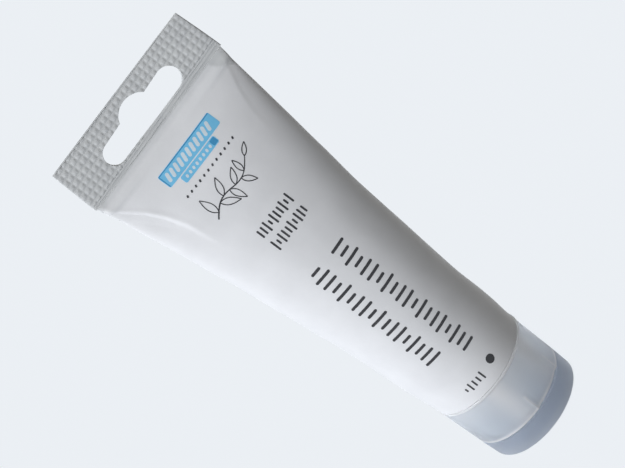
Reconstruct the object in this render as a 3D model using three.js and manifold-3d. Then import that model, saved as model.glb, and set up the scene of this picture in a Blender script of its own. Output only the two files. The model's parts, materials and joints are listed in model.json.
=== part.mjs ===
// A 75 ml squeeze tube of artist's paint with a flip-top closure.
// Millimetres, +Z up. The tube stands on the flat end of its lid, centred on the origin, and its
// printed front faces -Y. The closure is at the bottom and the flat welded tail at the top.

import * as THREE from 'three';
import { mergeVertices } from 'three/addons/utils/BufferGeometryUtils.js';
import Module from 'manifold-3d';

const wasm = await Module();
wasm.setup();

// Driving dimensions
const TOTAL_HEIGHT = 160;
const TUBE_RADIUS = 17.5;
const SLEEVE_WALL = 0.5;
const GAP = 0.3; // clearance between neighbouring pieces
const SIDES = 40; // facets round every turned piece

// Closure
const LID_HEIGHT = 7.4;
const CLOSURE_HEIGHT = 24;
const LID_END_RADIUS = 16.8;
const SEAM_RADIUS = 17.1;
const SKIRT_END_RADIUS = 17.4;
const SKIRT_WALL = 1.4;
const LID_WALL = 1.2;
const LID_EDGE_ROUND = 0.7;
const DECK_THICKNESS = 1.4;
const SPIGOT_LENGTH = 1.5;
const SPIGOT_RADIUS = 15.45;
const SPIGOT_WALL = 1;
const NOZZLE_LENGTH = 3.5;
const NOZZLE_RADIUS = 3.4;
const NOZZLE_BORE = 1.6;
const LID_PIN_RADIUS = 1.2;
const LID_PIN_TIP_RADIUS = 0.9;
const LID_PIN_HEIGHT = 6.6;
const RECESS_WIDTH = 14.2;
const RECESS_HEIGHT = 6.6;
const RECESS_DEPTH = 1;
const RECESS_ANGLE = 27.5; // degrees from the front (-Y) towards +X; the hinge is opposite

// Neck and the socket that snaps over it
const NECK_RADIUS = 8.2;
const NECK_BORE = 6.8;
const NECK_TIP_Z = 12;
const NECK_TIP_WALL = 1.4;
const ORIFICE_RADIUS = 2.6;
const BEAD_RADIUS = 9;
const BEAD_Z = 19.4;
const BEAD_HEIGHT = 1.6;
const SOCKET_RADIUS = 9.3;
const SOCKET_WALL = 1.1;
const SOCKET_END_Z = 22.4;
const INNER_PLUG_RADIUS = 2.2;
const INNER_PLUG_Z = 13.2;
const SHOULDER_THICKNESS = 1.3;

// Sleeve and tail seal
const ROUND_END_HEIGHT = 0.7;
const SEAL_DEPTH = 15.5;
const SEAL_THICKNESS = 1;
const SEAL_END_HALF_WIDTH = 27.6;
const SEAL_START_HALF_WIDTH = 28.3; // widest where the seal meets the sleeve
const SLEEVE_TOP_HALF_WIDTH = 27.8;
const SPREAD_POWER = 1.45; // how the sleeve widens from the round end to the seal
const SLEEVE_LEVELS = 12;
const CAVITY_END = 2; // solid, welded length of sleeve below the seal
const FILL_TOP_GAP = 5;

// Hang slot: a standard 32 mm slot with a peg notch in the middle of its upper edge
const SLOT_WIDTH = 32;
const SLOT_HEIGHT = 8;
const SLOT_CENTRE_BELOW_TOP = 9.8;
const NOTCH_WIDTH = 10.6;
const NOTCH_HEIGHT = 3.1;

// Hinge
const HINGE_RADIUS = 17.65;
const WEB_WIDTH = 5;
const WEB_HEIGHT = 2.6;
const STRAP_WIDTH = 2.4;
const STRAP_HEIGHT = 5.4;
const STRAP_SPREAD = 22; // degrees from the hinge's middle to each strap
const WEB_THICKNESS = 0.35;

// Derived places
const SEAM_Z = LID_HEIGHT + GAP;
const SLEEVE_START_Z = CLOSURE_HEIGHT + GAP;
const FLATTEN_START_Z = SLEEVE_START_Z + ROUND_END_HEIGHT;
const SEAL_START_Z = TOTAL_HEIGHT - SEAL_DEPTH;
const SLEEVE_END_Z = SEAL_START_Z - GAP;
const HINGE_Z = LID_HEIGHT + GAP / 2;

const radians = THREE.MathUtils.degToRad;

// ---------- helpers ----------

// A three.js geometry as a manifold solid.
function solid(geometry) {
  const bare = geometry.clone();
  bare.deleteAttribute('normal');
  bare.deleteAttribute('uv');
  const merged = mergeVertices(bare, 1e-5);
  return new wasm.Manifold(new wasm.Mesh({
    numProp: 3,
    vertProperties: new Float32Array(merged.attributes.position.array),
    triVerts: new Uint32Array(merged.index.array),
  }));
}

// A manifold solid as a three.js geometry.
function geometryOf(manifold) {
  const mesh = manifold.getMesh();
  const geometry = new THREE.BufferGeometry();
  geometry.setAttribute('position', new THREE.BufferAttribute(mesh.vertProperties, 3));
  geometry.setIndex(new THREE.BufferAttribute(mesh.triVerts, 1));
  return geometry;
}

// A piece turned about Z from [radius, z] points given anticlockwise round its section.
function turned(points, closed = true) {
  const profile = points.map(([radius, z]) => new THREE.Vector2(radius, z));
  if (closed) profile.push(profile[0].clone());
  return new THREE.LatheGeometry(profile, SIDES).rotateX(Math.PI / 2);
}

function named(name, geometry, material) {
  const mesh = new THREE.Mesh(geometry, material);
  mesh.name = name;
  return mesh;
}

function plastic(color, roughness, opacity = 1) {
  return new THREE.MeshStandardMaterial({
    color,
    roughness,
    metalness: 0,
    opacity,
    transparent: opacity < 1,
  });
}

// ---------- the sleeve's changing section ----------

// Half depth of the ellipse that has the round tube's girth and this half width.
function halfDepthFor(halfWidth) {
  const girth = 2 * Math.PI * TUBE_RADIUS;
  let low = 0;
  let high = TUBE_RADIUS;
  for (let step = 0; step < 40; step++) {
    const depth = (low + high) / 2;
    const mixed = Math.sqrt((3 * halfWidth + depth) * (halfWidth + 3 * depth));
    if (Math.PI * (3 * (halfWidth + depth) - mixed) < girth) low = depth;
    else high = depth;
  }
  return Math.max(low, SEAL_THICKNESS / 2 + 0.05);
}

// Half width and half depth of the sleeve at this height.
function sectionAt(z) {
  const along = THREE.MathUtils.clamp((z - FLATTEN_START_Z) / (SEAL_START_Z - FLATTEN_START_Z), 0, 1);
  const spread = (SLEEVE_TOP_HALF_WIDTH - TUBE_RADIUS) * along ** SPREAD_POWER;
  const halfWidth = TUBE_RADIUS + spread;
  return { halfWidth, halfDepth: halfDepthFor(halfWidth) };
}

// Presses a turned piece flat: each ring keeps its inset from the sleeve's outer face.
function flattened(geometry) {
  const position = geometry.attributes.position;
  for (let i = 0; i < position.count; i++) {
    const x = position.getX(i);
    const y = position.getY(i);
    const z = position.getZ(i);
    const radius = Math.hypot(x, y);
    if (z > FLATTEN_START_Z && radius > 0.01) {
      const { halfWidth, halfDepth } = sectionAt(z);
      const inset = TUBE_RADIUS - radius;
      position.setX(i, x / radius * (halfWidth - inset));
      position.setY(i, y / radius * (halfDepth - inset));
    }
  }
  return geometry;
}

// Heights from the round end to z, closer together towards the tail.
function levels(from, to, count) {
  const found = [];
  for (let k = 0; k <= count; k++) {
    found.push(from + (to - from) * (1 - (1 - k / count) ** 1.6));
  }
  return found;
}

function sleeve() {
  const outer = levels(FLATTEN_START_Z, SLEEVE_END_Z, SLEEVE_LEVELS).map((z) => [TUBE_RADIUS, z]);
  const innerRadius = TUBE_RADIUS - SLEEVE_WALL;
  const cavityEnd = SLEEVE_END_Z - CAVITY_END;
  const inner = levels(FLATTEN_START_Z, cavityEnd, SLEEVE_LEVELS).map((z) => [innerRadius, z]);
  const roundEnd = [
    [innerRadius - 0.6, SLEEVE_START_Z],
    [TUBE_RADIUS - 0.6, SLEEVE_START_Z],
    [TUBE_RADIUS - 0.2, SLEEVE_START_Z + 0.2],
  ];
  const profile = [...roundEnd, ...outer, [0, SLEEVE_END_Z], [0, cavityEnd], ...inner.reverse()];
  return flattened(turned(profile));
}

// The welded tail: two walls pressed into one flat strip, with the hang slot through it.
function tailSeal() {
  const middleZ = SEAL_START_Z + SEAL_DEPTH / 2;
  const bulge = SEAL_START_HALF_WIDTH - 0.1;
  const outline = new THREE.Shape();
  outline.moveTo(-SEAL_START_HALF_WIDTH, SEAL_START_Z);
  outline.lineTo(SEAL_START_HALF_WIDTH, SEAL_START_Z);
  outline.quadraticCurveTo(bulge, middleZ, SEAL_END_HALF_WIDTH, TOTAL_HEIGHT);
  outline.lineTo(-SEAL_END_HALF_WIDTH, TOTAL_HEIGHT);
  outline.quadraticCurveTo(-bulge, middleZ, -SEAL_START_HALF_WIDTH, SEAL_START_Z);
  outline.holes.push(hangSlot());
  const extrusion = new THREE.ExtrudeGeometry(outline, {
    depth: SEAL_THICKNESS,
    bevelEnabled: false,
    curveSegments: 8,
  });
  return extrusion.translate(0, 0, -SEAL_THICKNESS / 2).rotateX(Math.PI / 2);
}

function hangSlot() {
  const centreZ = TOTAL_HEIGHT - SLOT_CENTRE_BELOW_TOP;
  const endRadius = SLOT_HEIGHT / 2;
  const endX = SLOT_WIDTH / 2 - endRadius;
  const top = centreZ + endRadius;
  const notchX = NOTCH_WIDTH / 2;
  const notchRadius = (notchX * notchX + NOTCH_HEIGHT * NOTCH_HEIGHT) / (2 * NOTCH_HEIGHT);
  const notchZ = top + NOTCH_HEIGHT - notchRadius;
  const notchStart = Math.atan2(top - notchZ, notchX);
  const slot = new THREE.Path();
  slot.moveTo(endX, centreZ - endRadius);
  slot.absarc(endX, centreZ, endRadius, -Math.PI / 2, Math.PI / 2, false);
  slot.lineTo(notchX, top);
  slot.absarc(0, notchZ, notchRadius, notchStart, Math.PI - notchStart, false);
  slot.lineTo(-notchX, top);
  slot.absarc(-endX, centreZ, endRadius, Math.PI / 2, 3 * Math.PI / 2, false);
  slot.closePath();
  return slot;
}

// Shoulder disc and neck, moulded in one and welded inside the sleeve's round end.
function head() {
  const shoulderTop = FLATTEN_START_Z + SHOULDER_THICKNESS;
  const discRadius = TUBE_RADIUS - SLEEVE_WALL - GAP;
  return turned([
    [ORIFICE_RADIUS, NECK_TIP_Z],
    [NECK_RADIUS - 0.5, NECK_TIP_Z],
    [NECK_RADIUS, NECK_TIP_Z + 0.5],
    [NECK_RADIUS, BEAD_Z - 0.8],
    [BEAD_RADIUS, BEAD_Z],
    [BEAD_RADIUS, BEAD_Z + BEAD_HEIGHT / 2],
    [NECK_RADIUS, BEAD_Z + BEAD_HEIGHT],
    [NECK_RADIUS, CLOSURE_HEIGHT - 0.4],
    [discRadius - 1.2, SLEEVE_START_Z],
    [discRadius, FLATTEN_START_Z],
    [discRadius, shoulderTop],
    [NECK_BORE + 0.6, shoulderTop],
    [NECK_BORE, shoulderTop - 0.6],
    [NECK_BORE, NECK_TIP_Z + NECK_TIP_WALL],
    [ORIFICE_RADIUS, NECK_TIP_Z + NECK_TIP_WALL],
  ]);
}

// The paint: it fills the neck and the sleeve up to a little below the seal.
function paintFill() {
  const clear = SLEEVE_WALL + GAP;
  const fillRadius = TUBE_RADIUS - clear;
  const floorZ = FLATTEN_START_Z + SHOULDER_THICKNESS + GAP;
  const topZ = SLEEVE_END_Z - FILL_TOP_GAP;
  const neckRadius = NECK_BORE - GAP;
  const body = levels(floorZ, topZ, SLEEVE_LEVELS - 3).map((z) => [fillRadius, z]);
  return flattened(turned([
    [0, NECK_TIP_Z + NECK_TIP_WALL + GAP],
    [neckRadius, NECK_TIP_Z + NECK_TIP_WALL + GAP],
    [neckRadius, floorZ],
    ...body,
    [0, topZ],
  ], false));
}

// ---------- closure ----------

function skirtRadiusAt(z) {
  const along = (z - SEAM_Z) / (CLOSURE_HEIGHT - SEAM_Z);
  return SEAM_RADIUS + (SKIRT_END_RADIUS - SEAM_RADIUS) * along;
}

// A piece placed on the closure's wall: x is tangential, y is the distance from the axis.
function onWall(geometry, angle) {
  return geometry.rotateZ(Math.PI + radians(angle));
}

// The wedge that the thumb recess takes out of the skirt, deepest at the seam.
function recessCutter() {
  const low = SEAM_Z - 1;
  const block = new THREE.BoxGeometry(RECESS_WIDTH, 6, RECESS_HEIGHT + 1);
  block.translate(0, SEAM_RADIUS, low + (RECESS_HEIGHT + 1) / 2);
  const slope = (RECESS_DEPTH + skirtRadiusAt(SEAM_Z + RECESS_HEIGHT) - SEAM_RADIUS) / RECESS_HEIGHT;
  const floorRadius = (z) => SEAM_RADIUS - RECESS_DEPTH + slope * (z - SEAM_Z);
  const core = turned([
    [0, low - 1],
    [floorRadius(low - 1), low - 1],
    [floorRadius(SEAM_Z + RECESS_HEIGHT + 1), SEAM_Z + RECESS_HEIGHT + 1],
    [0, SEAM_Z + RECESS_HEIGHT + 1],
  ], false);
  return solid(onWall(block, RECESS_ANGLE)).subtract(solid(core));
}

function closureBase() {
  const deckZ = SEAM_Z + DECK_THICKNESS;
  const skirtInner = SEAM_RADIUS - SKIRT_WALL;
  const undercut = NECK_RADIUS + 0.35;
  const shell = turned([
    [NOZZLE_BORE, SEAM_Z - NOZZLE_LENGTH],
    [NOZZLE_RADIUS - 0.5, SEAM_Z - NOZZLE_LENGTH],
    [NOZZLE_RADIUS, SEAM_Z],
    [SPIGOT_RADIUS - SPIGOT_WALL, SEAM_Z],
    [SPIGOT_RADIUS - SPIGOT_WALL, SEAM_Z - SPIGOT_LENGTH],
    [SPIGOT_RADIUS - 0.2, SEAM_Z - SPIGOT_LENGTH],
    [SPIGOT_RADIUS, SEAM_Z],
    [SEAM_RADIUS, SEAM_Z],
    [SKIRT_END_RADIUS, CLOSURE_HEIGHT],
    [SKIRT_END_RADIUS - SKIRT_WALL, CLOSURE_HEIGHT],
    [skirtInner, deckZ],
    [SOCKET_RADIUS + SOCKET_WALL, deckZ],
    [SOCKET_RADIUS + SOCKET_WALL, SOCKET_END_Z],
    [SOCKET_RADIUS, SOCKET_END_Z],
    [undercut, SOCKET_END_Z - 0.5],
    [undercut, BEAD_Z + BEAD_HEIGHT + GAP],
    [SOCKET_RADIUS, BEAD_Z + BEAD_HEIGHT],
    [SOCKET_RADIUS, deckZ],
    [INNER_PLUG_RADIUS, deckZ],
    [INNER_PLUG_RADIUS, INNER_PLUG_Z],
    [NOZZLE_BORE, INNER_PLUG_Z],
  ]);
  return geometryOf(solid(shell).subtract(recessCutter()));
}

function lid() {
  const rise = LID_EDGE_ROUND;
  const cornerPoints = [];
  for (let k = 0; k <= 4; k++) {
    const turn = -Math.PI / 2 + k * Math.PI / 8;
    cornerPoints.push([LID_END_RADIUS - rise + rise * Math.cos(turn), rise + rise * Math.sin(turn)]);
  }
  return turned([
    [0, 0],
    ...cornerPoints,
    [SEAM_RADIUS, LID_HEIGHT],
    [SEAM_RADIUS - LID_WALL, LID_HEIGHT],
    [LID_END_RADIUS - LID_WALL - 0.4, LID_WALL],
    [LID_PIN_RADIUS, LID_WALL],
    [LID_PIN_TIP_RADIUS, LID_PIN_HEIGHT],
    [0, LID_PIN_HEIGHT],
  ], false);
}

// A thin strip laid on the closure's wall across the seam.
function hingeStrip(width, height, angle) {
  const strip = new THREE.BoxGeometry(width, WEB_THICKNESS, height);
  strip.translate(0, HINGE_RADIUS, HINGE_Z);
  return onWall(strip, angle);
}

// ---------- assembly ----------

const sleeveFilm = plastic(0xe9ebec, 0.35, 0.6);
const headPlastic = plastic(0xf4f4f2, 0.4);
const closurePlastic = plastic(0xb9c2ca, 0.35, 0.75);
const paint = plastic(0xf7f6f2, 0.5);

const hingeAngle = RECESS_ANGLE + 180;
const tube = new THREE.Group();
tube.add(
  named('sleeve', sleeve(), sleeveFilm),
  named('tail_seal', tailSeal(), sleeveFilm),
  named('head', head(), headPlastic),
  named('paint_fill', paintFill(), paint),
  named('closure_base', closureBase(), closurePlastic),
  named('hinge_web', hingeStrip(WEB_WIDTH, WEB_HEIGHT, hingeAngle), closurePlastic),
  named('hinge_strap_left', hingeStrip(STRAP_WIDTH, STRAP_HEIGHT, hingeAngle - STRAP_SPREAD), closurePlastic),
  named('hinge_strap_right', hingeStrip(STRAP_WIDTH, STRAP_HEIGHT, hingeAngle + STRAP_SPREAD), closurePlastic),
  named('lid', lid(), closurePlastic),
);

export default tube;
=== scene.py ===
import json
import math

import bmesh
import bpy
import numpy as np
from mathutils import Matrix, Vector


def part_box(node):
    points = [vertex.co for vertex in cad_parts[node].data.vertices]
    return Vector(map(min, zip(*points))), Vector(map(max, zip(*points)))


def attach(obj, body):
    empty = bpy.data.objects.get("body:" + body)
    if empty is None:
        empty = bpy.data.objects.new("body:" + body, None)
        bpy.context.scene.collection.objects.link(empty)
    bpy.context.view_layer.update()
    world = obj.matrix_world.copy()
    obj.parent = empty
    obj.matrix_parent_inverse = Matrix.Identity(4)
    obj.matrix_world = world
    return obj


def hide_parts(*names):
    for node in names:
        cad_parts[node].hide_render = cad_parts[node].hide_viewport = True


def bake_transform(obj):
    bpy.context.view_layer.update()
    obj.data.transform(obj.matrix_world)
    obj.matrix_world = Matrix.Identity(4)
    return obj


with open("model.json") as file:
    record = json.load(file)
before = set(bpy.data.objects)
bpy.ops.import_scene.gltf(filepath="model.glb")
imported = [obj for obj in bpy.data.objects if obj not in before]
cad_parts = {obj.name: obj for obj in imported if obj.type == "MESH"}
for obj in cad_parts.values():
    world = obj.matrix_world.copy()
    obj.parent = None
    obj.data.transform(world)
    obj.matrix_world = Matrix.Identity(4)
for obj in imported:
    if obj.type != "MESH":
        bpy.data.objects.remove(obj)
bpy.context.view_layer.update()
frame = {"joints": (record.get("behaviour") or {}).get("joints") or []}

MM = 0.001  # every size below is in millimetres and becomes metres as its mesh is made

# ---------- sizes, from the frame ----------


def box_mm(node):
    low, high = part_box(node)
    return low / MM, high / MM


_, LID_HIGH = box_mm("lid")
BASE_LOW, BASE_HIGH = box_mm("closure_base")
SLEEVE_LOW, SLEEVE_HIGH = box_mm("sleeve")
SEAL_LOW, SEAL_HIGH = box_mm("tail_seal")
HEAD_LOW, HEAD_HIGH = box_mm("head")
PAINT_LOW, PAINT_HIGH = box_mm("paint_fill")
HINGE = frame["joints"][0]

TUBE_RADIUS = SLEEVE_HIGH.y
GIRTH = 2 * math.pi * TUBE_RADIUS
WALL = 0.5
ROUND_END_Z = SLEEVE_LOW.z + 0.7
SEAL_Z = SEAL_LOW.z
TOP_Z = SEAL_HIGH.z
SEAL_START_HALF_WIDTH = SEAL_HIGH.x
SEAL_END_HALF_WIDTH = 27.6
SEAL_SPREAD_POWER = 1.4
SEAL_HALF_DEPTH = 0.36
SLEEVE_TOP_HALF_WIDTH = SLEEVE_HIGH.x
SLEEVE_SPREAD_POWER = 1.45

SEAM_Z = LID_HIGH.z + 0.3
CLOSURE_TOP_Z = BASE_HIGH.z
SKIRT_END_RADIUS = 17.4
SEAM_RADIUS = 17.1
LID_END_RADIUS = 16.8
HINGE_POINT = Vector(HINGE["pos_m"]) / MM
# The recess is opposite the hinge; this angle runs from the front towards +X.
RECESS_DIRECTION = math.atan2(-HINGE_POINT.x, HINGE_POINT.y)

HEAD_SEGMENTS = 192
CLOSURE_SEGMENTS = 384

# ---------- camera ----------


CAMERA_TARGET = (1.9, 0, 89.6)
CAMERA_DISTANCE = 640.06
CAMERA_AZIMUTH = 0.525
CAMERA_ELEVATION = 22.47
CAMERA_ROLL = -53.27
CAMERA_LENS = 131.48


def make_camera():
    """Looks down at the front of the tube, rolled so that the tail points to the upper left."""
    target = Vector(CAMERA_TARGET) * MM
    azimuth, elevation = math.radians(CAMERA_AZIMUTH), math.radians(CAMERA_ELEVATION)
    roll = math.radians(CAMERA_ROLL)
    distance = CAMERA_DISTANCE * MM
    back = Vector((
        math.sin(azimuth) * math.cos(elevation),
        -math.cos(azimuth) * math.cos(elevation),
        math.sin(elevation),
    ))
    camera = bpy.data.objects.new("camera", bpy.data.cameras.new("camera"))
    camera.data.sensor_width = 36
    camera.data.lens = CAMERA_LENS
    camera.data.clip_start = 0.01
    camera.data.clip_end = 20
    look = (-back).to_track_quat("-Z", "Y").to_matrix().to_4x4()
    camera.matrix_world = (
        Matrix.Translation(target + back * distance) @ look @ Matrix.Rotation(roll, 4, "Z")
    )
    bpy.context.scene.collection.objects.link(camera)
    bpy.context.scene.camera = camera


make_camera()

# ---------- mesh helpers ----------

WELD = 1e-7  # metres
SHARP_ANGLE = 50


def new_piece(name, points, faces, body, smooth=True):
    """A closed mesh object from points in millimetres, riding on a body if one is named."""
    mesh = bpy.data.meshes.new(name)
    mesh.from_pydata([tuple(p) for p in np.asarray(points) * MM], [], faces)
    mesh.validate()
    work = bmesh.new()
    work.from_mesh(mesh)
    bmesh.ops.remove_doubles(work, verts=work.verts, dist=WELD)
    bmesh.ops.dissolve_degenerate(work, edges=work.edges, dist=WELD)
    bmesh.ops.recalc_face_normals(work, faces=work.faces)
    if work.calc_volume(signed=True) < 0:
        bmesh.ops.reverse_faces(work, faces=work.faces)
    work.to_mesh(mesh)
    work.free()
    mesh.polygons.foreach_set("use_smooth", [smooth] * len(mesh.polygons))
    mesh.set_sharp_from_angle(angle=math.radians(SHARP_ANGLE))
    piece = bpy.data.objects.new(name, mesh)
    bpy.context.scene.collection.objects.link(piece)
    if body:
        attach(piece, body)
    return piece


def grid_faces(rows, columns, wrap=True):
    """Quads between rows of points, each row one after another."""
    faces = []
    for j in range(rows - 1):
        for i in range(columns if wrap else columns - 1):
            k = (i + 1) % columns
            here, above = j * columns, (j + 1) * columns
            faces.append((here + i, here + k, above + k, above + i))
    return faces


ARC_STEPS = 4


def rounded(points, radius):
    """The outline with each corner replaced by an arc; a point (r, z, own_radius) sets its own."""
    found = []
    count = len(points)
    for index, point in enumerate(points):
        own = point[2] if len(point) > 2 else radius
        here = Vector(point[:2])
        before = Vector(points[index - 1][:2]) - here
        after = Vector(points[(index + 1) % count][:2]) - here
        on_axis = here.x < 1e-6
        angle = before.angle(after, math.pi) if before.length and after.length else math.pi
        if own <= 0 or on_axis or angle > math.pi - 0.05:
            found.append((here.x, here.y))
            continue
        cut = min(own / math.tan(angle / 2), 0.45 * before.length, 0.45 * after.length)
        start = here + before.normalized() * cut
        end = here + after.normalized() * cut
        for step in range(ARC_STEPS + 1):
            t = step / ARC_STEPS
            mixed = start * (1 - t) ** 2 + here * 2 * t * (1 - t) + end * t * t
            found.append((mixed.x, mixed.y))
    return found


def turned(profile, segments):
    """Points and faces of an outline of (radius, z) turned about Z, closed or from axis to axis."""
    angles = np.arange(segments) * 2 * math.pi / segments
    profile = np.array(profile)
    points = np.empty((len(profile), segments, 3))
    points[:, :, 0] = profile[:, :1] * np.sin(angles)
    points[:, :, 1] = -profile[:, :1] * np.cos(angles)
    points[:, :, 2] = profile[:, 1:2]
    faces = grid_faces(len(profile), segments)
    if profile[0, 0] > 0:
        last = (len(profile) - 1) * segments
        for i in range(segments):
            k = (i + 1) % segments
            faces.append((last + i, last + k, k, i))
    return points.reshape(-1, 3), faces


def smoothstep(low, high, value):
    t = np.clip((value - low) / (high - low), 0, 1)
    return t * t * (3 - 2 * t)


NOISE_CELLS = 64


def value_noise(x, y, seed):
    """Smooth noise from -1 to 1 on a unit lattice, the same in every run."""
    table = np.random.default_rng(seed).uniform(-1, 1, (NOISE_CELLS, NOISE_CELLS))
    xi, yi = np.floor(x).astype(int), np.floor(y).astype(int)
    xf, yf = x - xi, y - yi
    xs, ys = xf * xf * (3 - 2 * xf), yf * yf * (3 - 2 * yf)

    def at(i, j):
        return table[i % NOISE_CELLS, j % NOISE_CELLS]

    near = at(xi, yi) * (1 - xs) + at(xi + 1, yi) * xs
    far = at(xi, yi + 1) * (1 - xs) + at(xi + 1, yi + 1) * xs
    return near * (1 - ys) + far * ys


# ---------- the film: where a point of the flat-printed sleeve lies in space ----------
# across is the distance round the sleeve from the middle of the front, positive towards +X.

SECTION_STEPS = 721
BISECTION_STEPS = 40
SWELL_SIZE = 0.45  # the sleeve swells a little above the closure
SWELL_Z = 37
SWELL_REACH = 11
SWELL_START = 7
ROUND_POWER = 2  # 2 makes the section an ellipse, and more makes it squarer
SEAL_SQUARING = 14
SQUARING_RUN = 5


def section_at(z):
    """Half width, half depth and squareness of the sleeve's section at each height."""
    z = np.asarray(z, float)
    along = np.clip((z - ROUND_END_Z) / (SEAL_Z - ROUND_END_Z), 0, 1)
    half_width = TUBE_RADIUS + (SLEEVE_TOP_HALF_WIDTH - TUBE_RADIUS) * along**SLEEVE_SPREAD_POWER
    swell = SWELL_SIZE * np.exp(-(((z - SWELL_Z) / SWELL_REACH) ** 2))
    half_width = half_width + swell * smoothstep(ROUND_END_Z, ROUND_END_Z + SWELL_START, z)
    low, high = np.zeros_like(half_width), np.full_like(half_width, TUBE_RADIUS)
    for _ in range(BISECTION_STEPS):
        depth = (low + high) / 2
        mixed = np.sqrt((3 * half_width + depth) * (half_width + 3 * depth))
        short = math.pi * (3 * (half_width + depth) - mixed) < GIRTH
        low, high = np.where(short, depth, low), np.where(short, high, depth)
    half_depth = np.maximum(low, SEAL_HALF_DEPTH + 0.2 * (z < SEAL_Z))
    in_seal = np.clip((z - SEAL_Z) / (TOP_Z - SEAL_Z), 0, 1)
    spread = SEAL_START_HALF_WIDTH - 0.1
    spread = spread + (SEAL_END_HALF_WIDTH - SEAL_START_HALF_WIDTH) * in_seal**SEAL_SPREAD_POWER
    half_width = np.where(z >= SEAL_Z, spread, half_width)
    half_depth = np.where(z >= SEAL_Z, SEAL_HALF_DEPTH, half_depth)
    squareness = ROUND_POWER + SEAL_SQUARING * smoothstep(SEAL_Z - SQUARING_RUN, SEAL_Z, z)
    return half_width, half_depth, squareness


def film_grid(across, heights):
    """Points and outward normals (rows by columns by 3) for across values round the whole girth."""
    half_width, half_depth, squareness = section_at(heights)
    turn = np.linspace(0, math.pi, SECTION_STEPS)
    power = (2 / squareness)[:, None]
    x = half_width[:, None] * np.sin(turn) ** power
    y = -half_depth[:, None] * np.sign(np.cos(turn)) * np.abs(np.cos(turn)) ** power
    steps = np.hypot(np.diff(x), np.diff(y))
    length = np.concatenate([np.zeros((len(x), 1)), np.cumsum(steps, axis=1)], axis=1)
    share = np.abs(across) / (GIRTH / 2)
    points = np.empty((len(x), len(across), 3))
    normals = np.empty_like(points)
    side = np.where(across < 0, -1.0, 1.0)
    for row in range(len(x)):
        want = share * length[row, -1]
        points[row, :, 0] = np.interp(want, length[row], x[row]) * side
        points[row, :, 1] = np.interp(want, length[row], y[row])
        points[row, :, 2] = heights[row]
        gx = points[row, :, 0] / half_width[row] ** 2
        gy = points[row, :, 1] / half_depth[row] ** 2
        size = np.hypot(gx, gy)
        normals[row, :, 0] = gx / size
        normals[row, :, 1] = gy / size
        normals[row, :, 2] = 0
    return points, normals


# Creases run from the seal's corners down the sides, as (across, height, depth of the dip).
CREASES = [
    [(-26.6, 144.5, 0.25), (-24.9, 139.4, 0.6), (-20.5, 133.5, 0.75), (-18.1, 128.5, 0.65),
     (-16.3, 122.9, 0.4), (-15.0, 112.0, 0.0)],
    [(26.0, 144.5, 0.1), (24.2, 139.0, 0.12), (21.0, 133.0, 0.1), (19.0, 127.0, 0.06),
     (17.5, 116.0, 0.0)],
    [(-29.5, 144.0, 0.05), (-30.5, 136.0, 0.25), (-33.0, 126.0, 0.2), (-34.0, 112.0, 0.0)],
    [(30.5, 144.0, 0.05), (32.0, 134.0, 0.3), (35.5, 122.0, 0.2), (37.0, 108.0, 0.0)],
]
FOLD_START = -0.2
FOLD_WIDTH = 1.5
FOLD_RECOVERY = 7.5
CREST_SHARE = 0.25  # height of the raised edge, as a share of the dip
CREST_WIDTH = 1.2


def crease_relief(across, z):
    """Each crease is an edge past which the film dips, then comes slowly back up."""
    relief = np.zeros_like(across)
    for crease in CREASES:
        line = np.array(crease)
        order = np.argsort(line[:, 1])
        at = np.interp(z, line[order, 1], line[order, 0])
        depth = np.interp(z, line[order, 1], line[order, 2])
        inside = (z > line[:, 1].min()) & (z < line[:, 1].max())
        depth = np.where(inside, depth, 0)
        past = (across - at) * np.sign(at)
        crest = CREST_SHARE * np.exp(-((past / CREST_WIDTH) ** 2))
        fall = smoothstep(FOLD_START, FOLD_WIDTH, past)
        back = smoothstep(FOLD_WIDTH, FOLD_WIDTH + FOLD_RECOVERY, past)
        relief += depth * (crest - fall + back)
    return relief


# Bulges of the film, as (height, size across, size along, seed).
BULGES = [(0.22, 15, 22, 3), (0.08, 6, 9, 5)]


def soft_relief(across, z):
    """Slow bulges that handled film has, none near the round end or the seal."""
    x = across + GIRTH
    bulge = 0
    for height, wide, long, seed in BULGES:
        bulge = bulge + height * value_noise(x / wide, z / long, seed)
    start = smoothstep(ROUND_END_Z + 1, ROUND_END_Z + 25, z)
    return bulge * start * (1 - smoothstep(SEAL_Z - 12, SEAL_Z - 1, z))


WAFFLE_PITCH = 2.0
WAFFLE_HEIGHT = 0.34
WAFFLE_MARGIN = 0.5
WAFFLE_ROWS = 6.5
COLUMN_GROOVE = 0.88  # grooves along the tube are shallower than those across it
LINE_TILT = 0.028  # the press stood a little askew, so its rows are not square to the tube
PYRAMID_BASE = 1.12
PYRAMID_HEIGHT = 0.8  # cut off below the point, so the tops are flat
RIDGE_HEIGHT = 0.18
RIDGE_OFFSET = 0.5
RIDGES_DEPTH = 2.0
SCALLOP = 0.16
SIDE_FACING = 0.8  # where the film's normal points this far sideways, it is the seal's side edge


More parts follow.
